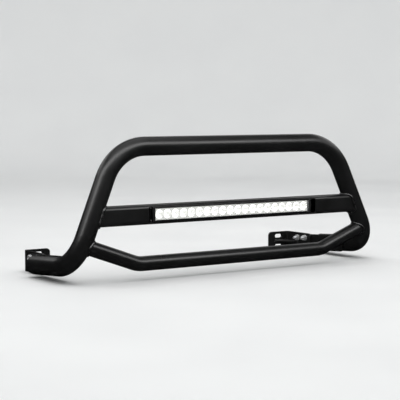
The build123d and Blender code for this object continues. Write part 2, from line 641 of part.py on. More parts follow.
with BuildPart() as frame_bracket_left:
    # bent plate: web beside the tab, flange flat against the frame rail
    with BuildSketch(Plane.XY):
        with BuildLine():
            FilletPolyline(
                (TAB_INNER_X, BRACKET_FRONT_Y), (TAB_INNER_X, 0), (BRACKET_INNER_X, 0),
                radius=BRACKET_BEND_R + BRACKET_THICKNESS,
            )
            FilletPolyline(
                (WEB_INNER_X, BRACKET_FRONT_Y),
                (WEB_INNER_X, -BRACKET_THICKNESS),
                (BRACKET_INNER_X, -BRACKET_THICKNESS),
                radius=BRACKET_BEND_R,
            )
            Line((TAB_INNER_X, BRACKET_FRONT_Y), (WEB_INNER_X, BRACKET_FRONT_Y))
            Line((BRACKET_INNER_X, 0), (BRACKET_INNER_X, -BRACKET_THICKNESS))
        make_face()
    extrude(amount=BRACKET_HEIGHT / 2, both=True)
    web_front = frame_bracket_left.faces().sort_by(Axis.Y)[0]
    fillet(web_front.edges().filter_by(Axis.X), BRACKET_CORNER_R)
    flange_end = frame_bracket_left.faces().sort_by(Axis.X)[0]
    fillet(flange_end.edges().filter_by(Axis.Y), BRACKET_CORNER_R)
    # gusset between web and flange
    with BuildSketch(Plane.XY):
        with BuildLine():
            Polyline(
                (WEB_INNER_X, -BRACKET_THICKNESS),
                (WEB_INNER_X - GUSSET_X, -BRACKET_THICKNESS),
                (WEB_INNER_X, -BRACKET_THICKNESS - GUSSET_Y),
                close=True,
            )
        make_face()
    extrude(amount=BRACKET_THICKNESS / 2, both=True)
    with BuildSketch(joint_plane(WEB_INNER_X)):
        with joint_bolt_places():
            Circle(M10 / 2)
    extrude(amount=BRACKET_THICKNESS, mode=Mode.SUBTRACT)
    with BuildSketch(Plane.XZ):
        with Locations((SLOT_X, 0)):
            with GridLocations(0, SLOT_SPACING_Z, 1, 2):
                SlotOverall(SLOT_LENGTH, SLOT_WIDTH)
    extrude(amount=BRACKET_THICKNESS, mode=Mode.SUBTRACT)
finish_part(frame_bracket_left, "frame_bracket_left")

with BuildPart() as frame_bracket_right:
    mirror(frame_bracket_left.part, about=Plane.YZ)
finish_part(frame_bracket_right, "frame_bracket_right")

BOLT_HEAD_X = TAB_OUTER_X + M10_WASHER_H
NUT_X = WEB_INNER_X - M10_WASHER_H
BOLT_LENGTH = 35.0

with BuildPart() as bracket_bolts:
    with BuildSketch(joint_plane(BOLT_HEAD_X)):
        with joint_bolt_places():
            RegularPolygon(M10_FLATS / 2, 6, major_radius=False)
    extrude(amount=M10_HEAD_H)
    with BuildSketch(joint_plane(BOLT_HEAD_X)):
        with joint_bolt_places():
            Circle(M10 / 2)
    extrude(amount=-BOLT_LENGTH)
    mirror(about=Plane.YZ)
finish_part(bracket_bolts, "bracket_bolts")

with BuildPart() as bracket_washers:
    for washer_x in (TAB_OUTER_X, NUT_X):
        with BuildSketch(joint_plane(washer_x)):
            with joint_bolt_places():
                ring(M10_WASHER_OD / 2, M10 / 2)
        extrude(amount=M10_WASHER_H)
    mirror(about=Plane.YZ)
finish_part(bracket_washers, "bracket_washers")

with BuildPart() as bracket_nuts:
    with BuildSketch(joint_plane(NUT_X)):
        with joint_bolt_places():
            RegularPolygon(M10_FLATS / 2, 6, major_radius=False)
            Circle(M10 / 2, mode=Mode.SUBTRACT)
    extrude(amount=-M10_NUT_H)
    mirror(about=Plane.YZ)
finish_part(bracket_nuts, "bracket_nuts")
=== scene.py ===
"""Looks of a front grille guard with a tilting LED light bar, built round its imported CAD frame.

Metres. +X is the vehicle's left, +Y points back to the vehicle, +Z is up.
"""
import json
import random
from math import cos, pi, radians, sin, sqrt, tan

import bmesh
import bpy
import numpy as np
from mathutils import Matrix, Vector
from mathutils.bvhtree import BVHTree


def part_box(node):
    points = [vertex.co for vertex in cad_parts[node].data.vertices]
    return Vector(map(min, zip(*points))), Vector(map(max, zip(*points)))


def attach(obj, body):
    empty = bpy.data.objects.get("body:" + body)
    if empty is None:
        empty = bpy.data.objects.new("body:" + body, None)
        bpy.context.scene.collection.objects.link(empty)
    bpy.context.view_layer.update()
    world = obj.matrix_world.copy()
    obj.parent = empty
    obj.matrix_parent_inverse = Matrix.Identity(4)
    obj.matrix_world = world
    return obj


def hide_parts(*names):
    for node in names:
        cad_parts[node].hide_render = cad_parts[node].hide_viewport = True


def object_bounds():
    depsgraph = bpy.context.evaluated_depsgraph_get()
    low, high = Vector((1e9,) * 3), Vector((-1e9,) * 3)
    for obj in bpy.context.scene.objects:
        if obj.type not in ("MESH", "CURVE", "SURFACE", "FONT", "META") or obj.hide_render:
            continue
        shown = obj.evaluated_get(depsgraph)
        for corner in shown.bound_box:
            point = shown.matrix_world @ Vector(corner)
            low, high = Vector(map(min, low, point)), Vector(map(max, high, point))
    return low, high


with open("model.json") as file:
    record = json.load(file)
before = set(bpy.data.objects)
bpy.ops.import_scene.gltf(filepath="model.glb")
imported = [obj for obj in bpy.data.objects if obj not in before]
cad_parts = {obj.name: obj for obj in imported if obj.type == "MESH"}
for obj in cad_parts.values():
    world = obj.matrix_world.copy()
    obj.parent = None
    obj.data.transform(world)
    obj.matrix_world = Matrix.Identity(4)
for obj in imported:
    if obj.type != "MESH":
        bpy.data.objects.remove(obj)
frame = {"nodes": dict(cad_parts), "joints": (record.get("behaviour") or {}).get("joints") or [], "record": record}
CAD_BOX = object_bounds()
NODES = frame["nodes"]
SLOT_OF = {part["node"]: part["material_slot"] for part in frame["record"]["subparts"]}
TILT = Vector(frame["joints"][0]["pos_m"])      # on the axis that the light bar tilts round
random.seed(7)
MM = 0.001
SAME_POINT = 1e-6           # points closer than this are one
TINY = 1e-9                 # stands in for a zero that is divided by
ROUND_POINTS = 48           # points round a circle

# ---- fasteners ----------------------------------------------------------------
# thread, width across flats, head height and thread pitch of hex bolts and nuts
M10 = {"thread": 10 * MM, "flats": 16 * MM, "head": 6.4 * MM, "pitch": 1.5 * MM}
M8 = {"thread": 8 * MM, "flats": 13 * MM, "head": 5.3 * MM, "pitch": 1.25 * MM}
M6 = {"thread": 6 * MM, "flats": 10 * MM, "head": 4.0 * MM, "pitch": 1.0 * MM}
M3 = {"thread": 3 * MM, "head_width": 5.2 * MM, "head": 1.5 * MM, "socket": 2.0 * MM}
BOLT_SIDES = 24             # points round a bolt; a multiple of six keeps its hexagon's corners
CROWN = 0.475               # radius of a hexagon's flat top, over its width across flats
HEAD_DISH = 0.04            # depth of the dish in a bolt's head, over its width across flats
DISH_FLOOR = 0.74           # radius of the dish's floor, over the flat top's
DISH_EDGE = 0.82            # radius of the dish's edge, over the flat top's
THREAD_DEPTH = 0.55         # over the pitch
THREAD_STEPS = 6            # rings for each turn of a thread
PLAIN_SHANK = 0.42          # share of a bolt's length without thread
SHANK_RADIUS = 0.97         # plain shank's radius, over the thread's
TIP_RADIUS = 0.80           # tip's radius, over the thread's
TIP_CHAMFER = 0.6           # length of the tip's chamfer, in pitches
THREAD_MOUTH = 0.1          # chamfer where a nut's thread begins, over the thread's radius
WASHER_ROUND = 0.3          # rounding of a washer's top edges, over its height
WASHER_BEVEL = 0.1          # bevel of its bottom edges, over its height
ARC_DIP = 0.3               # from a rounded edge's middle to each of its faces, over its radius
# side of a button head: radius and height, over the head's own
BUTTON_HEAD = ((1, 0), (1, 0.35), (0.90, 0.78), (0.68, 1))
SOCKET_FLOOR = 0.25         # height of a socket's floor, over the head's

# ---- light bar ----------------------------------------------------------------
LED_COUNT = 20
CUP_MOUTH_R = 13.6 * MM
CUP_THROAT_R = 3.6 * MM     # at the board
CUP_POINTS = 48             # points round a cup
CUP_ROWS = 8                # rings from a cup's throat to its mouth
# strength of the painted glow on the chrome cups, which are no lamp
REFLECTOR_PAINTED_GLOW = 0.84
EMITTER_GLOW = 1.8
# painted glow of a cup against the distance from its axis, in cup radii, out to GLOW_REACH: it stands in for the
# LEDs' light in the chrome and dips into painted shade between the rims
GLOW_REACH = 1.5
CUP_PAINTED_GLOW = ((0.26, 0.70), (0.55, 0.98), (0.90, 1.0), (0.97, 0.86), (1.02, 0.60), (1.3, 0.68))
LED_POINTS = 24
LED_BASE = 0.35             # height of an LED's square base, over the whole LED's
LED_CORNER = 1.22           # reach of the base's corners, over its half width
# phosphor dome: radius and height, over the LED's half width and height
LED_DOME = ((0.86, 0.42), (0.78, 0.68), (0.55, 0.90), (0.22, 1))
PAD_HEIGHT = 0.08 * MM      # of a solder ring
PAD_INNER = 1.45            # inner radius of a solder ring, over the LED's half width
PAD_OUTER = 0.95            # outer radius of a solder ring, over the cup's throat
FILLET_PLACE = 1.12         # distance of a solder fillet, over the LED's half width
FILLET_R = 0.22             # radius of a solder fillet, over the LED's half width
FILLET_POINTS = 16
FILLET_RISES = (0, 0.25, 0.5, 0.75, 0.97)   # its rings, in quarter turns up from the board

# ---- weld beads ---------------------------------------------------------------
END_BEAD_R = 4.6 * MM       # at the ends of the crossbar and the cross-member
TAB_BEAD_R = 3.6 * MM       # stitches along the tabs
GUSSET_BEAD_R = 2.6 * MM
BEAD_STEP = 0.7 * MM
BEAD_UP = Vector((0.3, 0.2, 1))     # no bead runs along it, so a bead's first ring can start there
BEAD_SIDES = 10
RIPPLE = 2.8 * MM           # length of one pool of weld
POOL_LOW = 0.91             # a pool's least radius, over the bead's
POOL_SWELL = 0.09           # and what it adds in its middle
POOL_WANDER = 0.05          # slow change of the radius along the bead, over the bead's
WANDER_RATE = 0.21          # radians for each step
BEAD_TIP = 0.45             # radius at an open bead's tips, over its full radius
TIP_GROWTH = 0.2            # and its growth for each step from the tip
TAB_STITCHES = ((0.03, 0.30), (0.38, 0.62), (0.70, 0.97))   # shares of a tab's length
SEAT_REACH = 0.4 * MM       # a coped end closer to its tube than this is seated on it
TAB_REACH = 0.15 * MM       # a tab closer to its foot than this lies on it
GUSSET_CORNER = -radians(50)            # inner corners sharper than this are welded
GUSSET_SHORTEST = 4 * GUSSET_BEAD_R     # and only if they are longer than this

# ---- edges --------------------------------------------------------------------
FLAT_ANGLE = radians(1)     # faces that meet at less than this are one flat face
EDGE_ANGLE = radians(30)    # edges sharper than this are rounded
NARROW = 1.6                # a face narrower than this many bevel strips is a rounded edge
# rounding of the edges, in mm
LIGHT_EDGES = {
    "light_lens": 0.5, "light_housing": 0.25, "end_cap_left": 0.4, "end_cap_right": 0.4,
    "gland_nut": 0.3, "cable_gland": 0.3, "breather_plug": 0.3, "end_cap_gaskets": 0.15,
    "lens_gasket": 0.2, "driver_module": 0.5, "led_board": 0.2,
}
GUARD_EDGES = {
    "leg_tab_left": 0.8, "leg_tab_right": 0.8, "frame_bracket_left": 0.8,
    "frame_bracket_right": 0.8, "light_bracket_left": 0.4, "light_bracket_right": 0.4,
    "light_crossmember": 0.4, "hoop_end_plugs": 0.9, "cable_grommet": 0.5,
}

# ---- studio -------------------------------------------------------------------
STAGE_RADIUS = 7.0
STAGE_CURVE = 2.5           # radius of the bend from the floor up to the backdrop
STAGE_HEIGHT = 5.0
STAGE_POINTS = 96           # points round the stage
FLOOR_RINGS = (0.02, 1.0, 3.0)          # radii of the flat floor's rings
BEND_STEPS = 12
RING_RADIUS = 2.6
RING_WIDTH = 0.9            # of the ring's panels
PANEL_LENGTH = 1.0          # of each panel, about
# the ring of panels runs through these directions
RING_CORNERS = [(-0.90, 0.06, 0.44), (0.62, -0.64, 0.39), (0.80, 0.45, 0.40), (-0.15, 0.88, 0.46)]
RING_RADIANCE = (8.7, 1.6, 1.0, 2.0)    # of the arc that starts at each corner
OVERHEAD_HEIGHT = 4.0
OVERHEAD_SIZE = 4.5
OVERHEAD_POWER = 90.0
WORLD_COLOUR = (0.97, 0.99, 1, 1)
WORLD_GLOW = 0.92
CAMERA_PLACE = (-2.334, -3.548, 0.484)  # the photograph's viewing angle
CAMERA_ANGLE = radians(17.8)
CAMERA_REACH = 50           # how far the camera sees


# ---- shader helpers -----------------------------------------------------------
def new_material(name):
    """A material with its node tree and its Principled shader."""
    material = bpy.data.materials.new(name)
    material.use_nodes = True
    return material, material.node_tree, material.node_tree.nodes["Principled BSDF"]


def put(tree, socket, value):
    """Give an input a value, or link it to an output."""
    if isinstance(value, bpy.types.NodeSocket):
        tree.links.new(value, socket)
    else:
        socket.default_value = value


def node(tree, kind, sockets=None, **settings):
    """Add a shader node; sockets gives each input a value or the output it is linked to."""
    made = tree.nodes.new(kind)
    for key, value in settings.items():
        setattr(made, key, value)
    for key, value in (sockets or {}).items():
        put(tree, made.inputs[key], value)
    return made


def finish_shader(tree, shader, **sockets):
    """Link or set the shader's inputs; an underscore stands for a space in their names."""
    for key, value in sockets.items():
        put(tree, shader.inputs[key.replace("_", " ")], value)


def noise(tree, grain, detail=2.0, stretch=(1, 1, 1), roughness=0.5):
    """Noise from 0 to 1 whose blobs are about grain metres across, stretched along each axis."""
    place = node(tree, "ShaderNodeTexCoord").outputs["Object"]
    mapping = node(tree, "ShaderNodeMapping", {"Vector": place, "Scale": stretch})
    settings = {
        "Vector": mapping.outputs["Vector"], "Scale": 1 / grain,
        "Detail": detail, "Roughness": roughness,
    }
    return node(tree, "ShaderNodeTexNoise", settings).outputs["Fac"]


def arithmetic(tree, operation, first, second):
    """The result of a math node."""
    return node(tree, "ShaderNodeMath", {0: first, 1: second}, operation=operation).outputs[0]


def spread(tree, value, low, high, start=0.3, end=0.7):
    """Map a value that runs from start to end onto low to high."""
    sockets = {"Value": value, "From Min": start, "From Max": end, "To Min": low, "To Max": high}
    return node(tree, "ShaderNodeMapRange", sockets).outputs["Result"]


def mixed(tree, share, first, second):
    """A colour between two colours."""
    # a Mix node has one set of sockets for each data type; 6, 7 and output 2 are the colours
    return node(tree, "ShaderNodeMix", {0: share, 6: first, 7: second}, data_type="RGBA").outputs[2]


def bumps(tree, *layers):
    """Stack bump layers, each (height, depth in metres, strength)."""
    normal = None
    for height, depth, strength in layers:
        sockets = {"Height": height, "Distance": depth, "Strength": strength}
        if normal is not None:
            sockets["Normal"] = normal
        normal = node(tree, "ShaderNodeBump", sockets).outputs["Normal"]
    return normal


def rubbed_edges(tree):
    """From 0 on flat metal to 1 on the rounded edges that refined() marks, broken up by noise."""
    edges = node(tree, "ShaderNodeAttribute", attribute_name="rubbed").outputs["Fac"]
    patches = spread(tree, noise(tree, 5 * MM, 4), 0, 1, 0.45, 0.68)
    return arithmetic(tree, "MULTIPLY", edges, patches)


def grey(value, tint=(1, 1, 1)):
    """An RGBA grey, slightly tinted."""
    return (value * tint[0], value * tint[1], value * tint[2], 1)


# ---- materials ----------------------------------------------------------------
def powder_coat(name, smoothest, roughest, specular):
    """Satin black powder coat: fine grain on a faint orange peel, rubbed on the edges."""
    material, tree, shader = new_material(name)
    patches = noise(tree, 90 * MM, 5, roughness=0.6)
    grain = noise(tree, 1.1 * MM, 2)
    peel = noise(tree, 4.5 * MM, 1)
    coat = mixed(tree, spread(tree, patches, 0, 1), grey(0.0065), grey(0.0105, (1, 1, 1.03)))
    worn = mixed(tree, rubbed_edges(tree), coat, grey(0.030, (1, 0.98, 0.95)))
    finish_shader(
        tree, shader, Base_Color=worn,
        Roughness=spread(tree, patches, smoothest, roughest),
        Normal=bumps(tree, (peel, 0.25 * MM, 0.12), (grain, 0.12 * MM, 0.22)),
        Specular_IOR_Level=specular,
    )
    return material


def plated_steel(name, tone, roughness, drift):
    """Plated or stainless steel with fine lay marks, cloudy patches and a faint colour drift."""
    material, tree, shader = new_material(name)
    cloud = noise(tree, 7 * MM, 4)
    scratch = noise(tree, 0.35 * MM, 2, stretch=(0.15, 1, 1))
    bright, dull = grey(tone, (1.0, 0.99, 0.95)), grey(tone * 0.86, drift)
    # less than fully metallic, so that faces turned away from the panels aren't black
    finish_shader(
        tree, shader, Base_Color=mixed(tree, spread(tree, cloud, 0, 1), bright, dull),
        Roughness=spread(tree, cloud, roughness, roughness + 0.14),
        Normal=bumps(tree, (scratch, 0.03 * MM, 0.35)),
        Metallic=0.62,
    )
    return material


def moulded(name, tone, roughness, grain, depth):
    """Matt moulded plastic or rubber with an eroded mould texture."""
    material, tree, shader = new_material(name)
    patches = noise(tree, 14 * MM, 4)
    colour = mixed(tree, spread(tree, patches, 0, 1), grey(tone), grey(tone * 1.5, (1, 1, 1.03)))
    finish_shader(
        tree, shader, Base_Color=colour,
        Roughness=spread(tree, patches, roughness - 0.06, roughness + 0.08),
        Normal=bumps(tree, (noise(tree, grain, 3), depth, 0.5)),
    )
    return material


def anodised():
    """Black anodised extrusion with drawing lines along X, rubbed on the edges."""
    material, tree, shader = new_material("anodised_black")
    lines = noise(tree, 0.8 * MM, 3, stretch=(0.02, 1, 1))
    patches = noise(tree, 20 * MM, 4)
    colour = mixed(tree, spread(tree, lines, 0, 1), grey(0.016), grey(0.028, (1, 1, 1.05)))
    finish_shader(
        tree, shader,
        Base_Color=mixed(tree, rubbed_edges(tree), colour, grey(0.10, (1, 1, 1.02))),
        Roughness=spread(tree, patches, 0.30, 0.42),
        Normal=bumps(tree, (lines, 0.05 * MM, 0.35)),
        Metallic=0.55,
    )
    return material


def cup_radius(tree):
    """Distance from the nearest cup's axis, over the cup's mouth radius."""
    low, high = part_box("reflector_array")
    pitch = (high.x - low.x) / LED_COUNT
    place = node(tree, "ShaderNodeTexCoord").outputs["Object"]
    split = node(tree, "ShaderNodeSeparateXYZ", {0: place})
    cell = arithmetic(tree, "SUBTRACT", split.outputs["X"], low.x)
    across = arithmetic(tree, "SUBTRACT", arithmetic(tree, "MODULO", cell, pitch), pitch / 2)
    up = arithmetic(tree, "SUBTRACT", split.outputs["Z"], TILT.z)
    flat = node(tree, "ShaderNodeCombineXYZ", {"X": across, "Y": up}).outputs[0]
    length = node(tree, "ShaderNodeVectorMath", {0: flat}, operation="LENGTH").outputs["Value"]
    return arithmetic(tree, "DIVIDE", length, CUP_MOUTH_R)


def reflector():
    """Metallised cups with a painted glow that stands in for their LEDs' light, and painted shade between the
    rims.
    """
    material, tree, shader = new_material("reflector_painted_glow")
    ripple = noise(tree, 1.6 * MM, 2)
    reach = spread(tree, cup_radius(tree), 0, 1, 0, GLOW_REACH)
    glow = node(tree, "ShaderNodeValToRGB", {"Fac": reach})
    stops = glow.color_ramp.elements
    while len(stops) < len(CUP_PAINTED_GLOW):
        stops.new(1.0)
    for stop, (place, tone) in zip(stops, CUP_PAINTED_GLOW):
        stop.position = place / GLOW_REACH
        stop.color = grey(tone, (1, 1, 0.93))
    colour = mixed(tree, spread(tree, ripple, 0, 1), grey(0.92), grey(0.80, (1, 1, 1.03)))
    finish_shader(
        tree, shader, Base_Color=colour,
        # painted glow: the chrome cups emit the LEDs' light themselves, darker between the rims as painted shade
        Emission_Color=glow.outputs["Color"],
        Emission_Strength=REFLECTOR_PAINTED_GLOW,
        Roughness=spread(tree, ripple, 0.06, 0.16),
        Normal=bumps(tree, (ripple, 0.08 * MM, 0.2)),
        Metallic=1.0,
    )
    return material


def emitter():
    """The LEDs' phosphor domes, lit."""
    material, tree, shader = new_material("led_phosphor_lit")
    speck = noise(tree, 0.5 * MM, 2)
    bright, dim = grey(1.0, (1, 1, 0.96)), grey(0.9, (1, 0.98, 0.9))
    finish_shader(
        tree, shader,
        Base_Color=mixed(tree, speck, grey(0.9, (1, 0.95, 0.7)), grey(0.8)),
        Emission_Color=mixed(tree, spread(tree, speck, 0, 1), bright, dim),
        Emission_Strength=EMITTER_GLOW,
        Roughness=spread(tree, speck, 0.25, 0.4),
    )
    return material


def clear_lens():
    """Clear polycarbonate with a hard coat: mostly open, with flow marks and fine scratches."""
    material, tree, shader = new_material("polycarbonate_clear")
    flow = noise(tree, 30 * MM, 3, stretch=(0.4, 1, 1))
    scratch = noise(tree, 0.6 * MM, 2, stretch=(0.2, 1, 1))
    light, dark = grey(0.80, (0.98, 1, 1.02)), grey(0.72, (0.97, 1, 1.03))
    finish_shader(
        tree, shader,
        Base_Color=mixed(tree, spread(tree, flow, 0, 1), light, dark),
        Roughness=spread(tree, scratch, 0.04, 0.12),
        Normal=bumps(tree, (flow, 0.2 * MM, 0.15), (scratch, 0.01 * MM, 0.2)),
        Alpha=0.16, Coat_Weight=0.6, Coat_Roughness=0.04,
    )
    return material


def circuit_board():
    """White solder mask over faint copper areas."""
    material, tree, shader = new_material("solder_mask_white")
    copper = spread(tree, noise(tree, 9 * MM, 0, stretch=(1, 1, 0.5)), 0, 1, 0.49, 0.51)
    grain = noise(tree, 0.8 * MM, 2)
    finish_shader(
        tree, shader,
        Base_Color=mixed(tree, copper, grey(0.80), grey(0.72, (1, 0.99, 0.94))),
        Roughness=spread(tree, grain, 0.32, 0.48),
        Normal=bumps(tree, (copper, 0.04 * MM, 0.5)),
    )
    return material


def floor_paint():
    """Pale matt floor with a very faint mottle."""
    material, tree, shader = new_material("studio_floor")
    mottle = noise(tree, 400 * MM, 4)
    finish_shader(
        tree, shader,
        Base_Color=mixed(tree, mottle, grey(0.83), grey(0.87, (1, 1, 0.99))),
        Roughness=spread(tree, mottle, 0.55, 0.65),
    )
    return material


MATERIALS = {
    "powder_coat": powder_coat("powder_coat_black", 0.27, 0.33, 0.25),
    "zinc_steel": plated_steel("zinc_plated_steel", 0.60, 0.30, (0.97, 1.0, 1.06)),
    "stainless_steel": plated_steel("stainless_steel", 0.62, 0.22, (1.0, 1.0, 1.01)),
    "black_plastic": moulded("moulded_plastic_black", 0.018, 0.50, 0.7 * MM, 0.10 * MM),
    "black_rubber": moulded("rubber_black", 0.013, 0.68, 0.5 * MM, 0.08 * MM),
    "light_aluminium": anodised(),
    "clear_lens": clear_lens(),
    "silicone_seal": moulded("silicone_dark", 0.03, 0.58, 0.4 * MM, 0.05 * MM),
    "reflector_chrome": reflector(),
    "led_emitter": emitter(),
    "circuit_board": circuit_board(),
    "driver_potting": moulded("potting_resin_black", 0.015, 0.26, 3.0 * MM, 0.15 * MM),
    "nylon": moulded("nylon_black", 0.025, 0.42, 0.6 * MM, 0.05 * MM),
}
# the coat flows smoother over the weld beads, which catch the light
WELD_COAT = powder_coat("powder_coat_on_welds", 0.23, 0.29, 0.55)


# ---- mesh helpers -------------------------------------------------------------
class Shape:
    """Points and faces gathered for one piece."""

    def __init__(self):
        self.points = []
        self.faces = []

    def band(self, near, far, count):
        """Join two closed rings of points by quads; near and far are their first points' numbers."""
        for k in range(count):
            after = (k + 1) % count
            self.faces.append((near + k, near + after, far + after, far + k))

    def loft(self, rings, loop=False):
        """Join closed rings of equal length by quads; cap both ends, or close the loop."""
        count = len(rings[0])
        first = len(self.points)
        for points in rings:
            self.points.extend(points)
        last = len(rings) if loop else len(rings) - 1
        for row in range(last):
            self.band(first + row * count, first + (row + 1) % len(rings) * count, count)
        if not loop:
            self.faces.append(tuple(first + k for k in reversed(range(count))))
            self.faces.append(tuple(first + last * count + k for k in range(count)))

    def mesh(self, name):
        """A mesh made of the points and faces."""
        made = bpy.data.meshes.new(name)
        made.from_pydata([tuple(p) for p in self.points], [], self.faces)
        return made

    def piece(self, name, body, slot, *replaced, sharp=35):
        """Make the object, give it its material and body, and hide what it replaces."""
        return finished(name, self.mesh(name), body, slot, *replaced, sharp=sharp)


def finished(name, mesh, body, slot, *replaced, sharp=35):
    """Clean a mesh and turn it into a piece that rides on its body; sharp is in degrees."""
    work = bmesh.new()
    work.from_mesh(mesh)
    bmesh.ops.remove_doubles(work, verts=work.verts, dist=SAME_POINT)
    bmesh.ops.recalc_face_normals(work, faces=work.faces)
    work.to_mesh(mesh)
    work.free()
    mesh.shade_smooth()
    mesh.set_sharp_from_angle(angle=radians(sharp))
    mesh.materials.append(MATERIALS[slot])
    made = bpy.data.objects.new(name, mesh)
    bpy.context.scene.collection.objects.link(made)
    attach(made, body)
    if replaced:
        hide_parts(*replaced)
    return made


def along_x(x, y, z, side):
    """Matrix whose local Z runs along +X or -X from a point."""
    return Matrix.Translation((x, y, z)) @ Matrix.Rotation(side * pi / 2, 4, "Y")


def along_y(x, y, z, side):
    """Matrix whose local Z runs along +Y or -Y from a point."""
    return Matrix.Translation((x, y, z)) @ Matrix.Rotation(-side * pi / 2, 4, "X")


def ring(matrix, radius, height, count=ROUND_POINTS, turn=0.0):
    """A ring of points round local Z; radius and height may be numbers or functions of the angle."""
    points = []
    for k in range(count):
        angle = 2 * pi * k / count
        r = radius(angle) if callable(radius) else radius
        h = height(angle) if callable(height) else height
        points.append(matrix @ Vector((r * cos(angle + turn), r * sin(angle + turn), h)))
    return points


def hexagon(flats):
    """Radius of a hexagon of that width across its flats, as a function of the angle."""
    return lambda angle: flats / 2 / cos((angle + pi / 6) % (pi / 3) - pi / 6)


def hex_chamfer(flats, height, crown):
    """Height of a 30 degree chamfer's scalloped edge, round a flat circle of radius crown."""
    outline = hexagon(flats)
    return lambda angle: height - (outline(angle) - crown) * tan(radians(30))


def thread_rings(matrix, radius, start, end, pitch, turn):
    """Rings of a helical thread from start to end along local Z."""
    depth = THREAD_DEPTH * pitch
    rows = int(abs(end - start) / pitch * THREAD_STEPS) + 1
    rings = []
    for row in range(rows + 1):
        height = start + (end - start) * row / rows

        def crest(angle, height=height):
            phase = (height / pitch - angle / (2 * pi)) % 1
            return radius - depth * abs(2 * phase - 1)

        rings.append(ring(matrix, crest, height, BOLT_SIDES, turn))
    return rings


def hex_bolt(shape, matrix, size, length, turn):
    """A hex bolt: head on local +Z, shank of that length on -Z, threaded towards its tip."""
    flats, top, pitch = size["flats"], size["head"], size["pitch"]
    crown, radius = flats * CROWN, size["thread"] / 2
    outline = hexagon(flats)
    runout = -PLAIN_SHANK * length
    tip = -length + pitch * TIP_CHAMFER

    def bolt_ring(r, height):
        return ring(matrix, r, height, BOLT_SIDES, turn)

    shape.loft([
        bolt_ring(crown * DISH_FLOOR, top - HEAD_DISH * flats),
        bolt_ring(crown * DISH_EDGE, top),
        bolt_ring(crown, top),
        bolt_ring(outline, hex_chamfer(flats, top, crown)),
        bolt_ring(outline, 0),
        bolt_ring(radius * SHANK_RADIUS, 0),
        bolt_ring(radius * SHANK_RADIUS, runout),
        *thread_rings(matrix, radius, runout, tip, pitch, turn),
        bolt_ring(radius * TIP_RADIUS, -length),
    ])


def hex_nut(shape, matrix, size, height, turn):
    """A hex nut from local Z = 0 to its height, chamfered on both faces, with its thread's mouth."""
    flats, bore = size["flats"], size["thread"] / 2
    crown = flats * CROWN
    outline = hexagon(flats)
    top = hex_chamfer(flats, height, crown)
    lip = THREAD_MOUTH * bore
    shape.loft([
        ring(matrix, crown, 0, turn=turn),
        ring(matrix, outline, lambda angle: height - top(angle), turn=turn),
        ring(matrix, outline, top, turn=turn),
        ring(matrix, crown, height, turn=turn),
        ring(matrix, bore + lip, height, turn=turn),
        ring(matrix, bore, height - lip, turn=turn),
        ring(matrix, bore, lip, turn=turn),
        ring(matrix, bore + lip, 0, turn=turn),
    ], loop=True)


def washer(shape, matrix, bore, outer, height):
    """A stamped washer: rounded on one face, sharp-edged with a small burr bevel on the other."""
    round_r, bevel = WASHER_ROUND * height, WASHER_BEVEL * height
    dip = ARC_DIP * round_r
    shape.loft([
        ring(matrix, bore, bevel),
        ring(matrix, bore + bevel, 0),
        ring(matrix, outer - bevel, 0),
        ring(matrix, outer, bevel),
        ring(matrix, outer, height - round_r),
        ring(matrix, outer - dip, height - dip),
        ring(matrix, outer - round_r, height),
        ring(matrix, bore + round_r, height),
        ring(matrix, bore + dip, height - dip),
        ring(matrix, bore, height - round_r),
    ], loop=True)


def joined_mesh(name):
    """A CAD node's mesh, to work on, with its faces joined at their corners."""
    work = bmesh.new()
    work.from_mesh(NODES[name].data)
    bmesh.ops.remove_doubles(work, verts=work.verts, dist=SAME_POINT)
    return work


def solids(name):
    """Lowest and highest corners of each separate solid in a CAD node, sorted to 0.1 mm."""
    work = joined_mesh(name)
    left = set(work.verts)
    found = []
    while left:
        reached = {left.pop()}
        queue = list(reached)
        while queue:
            for edge in queue.pop().link_edges:
                for vertex in edge.verts:
                    if vertex in left:
                        left.discard(vertex)
                        reached.add(vertex)
                        queue.append(vertex)
        places = np.array([v.co for v in reached])
        found.append((Vector(places.min(0)), Vector(places.max(0))))
    work.free()
    return sorted(found, key=lambda corners: tuple(round(c, 4) for c in corners[0]))


def clean_mesh(name):
    """A CAD node's joined mesh with its flat faces merged."""
    work = joined_mesh(name)
    bmesh.ops.dissolve_limit(work, angle_limit=FLAT_ANGLE, verts=work.verts, edges=work.edges)
    return work


def refined(name, bevel, segments=3, body="guard"):
    """A CAD node's shape with its faces made clean and its edges rounded; it replaces the node."""
    work = clean_mesh(name)
    mesh = bpy.data.meshes.new(name + "_refined")
    work.to_mesh(mesh)
    work.free()
    source = bpy.data.objects.new(name + "_refined", mesh)
    bpy.context.scene.collection.objects.link(source)
    rounding = source.modifiers.new("rounding", "BEVEL")
    rounding.width = bevel
    rounding.segments = segments
    rounding.limit_method = "ANGLE"
    rounding.angle_limit = EDGE_ANGLE
    rounding.use_clamp_overlap = False
    rounding.miter_outer = "MITER_ARC"
    evaluated = source.evaluated_get(bpy.context.evaluated_depsgraph_get())
    rounded = bpy.data.meshes.new_from_object(evaluated)
    bpy.data.objects.remove(source)
    mark_rubbed(rounded, bevel / segments)
    return finished(name + "_refined", rounded, body, SLOT_OF[name], name)


def mark_rubbed(mesh, width):
    """Mark the narrow faces along rounded edges, where the finish rubs."""
    rubbed = mesh.attributes.new("rubbed", "FLOAT", "CORNER")
    for face in mesh.polygons:
        corners = [mesh.vertices[v].co for v in face.vertices]
        around = sum((a - b).length for a, b in zip(corners, corners[1:] + corners[:1]))
        if 2 * face.area < NARROW * width * around:
            for corner in face.loop_indices:
                rubbed.data[corner].value = 1.0


# ---- weld beads ---------------------------------------------------------------
def touch_test(name, reach):
    """A function that tells whether a point lies on a CAD node's surface."""
    mesh = NODES[name].data
    corners = [v.co for v in mesh.vertices]
    surface = BVHTree.FromPolygons(corners, [p.vertices for p in mesh.polygons])
    return lambda point: surface.find_nearest(point, reach)[0] is not None


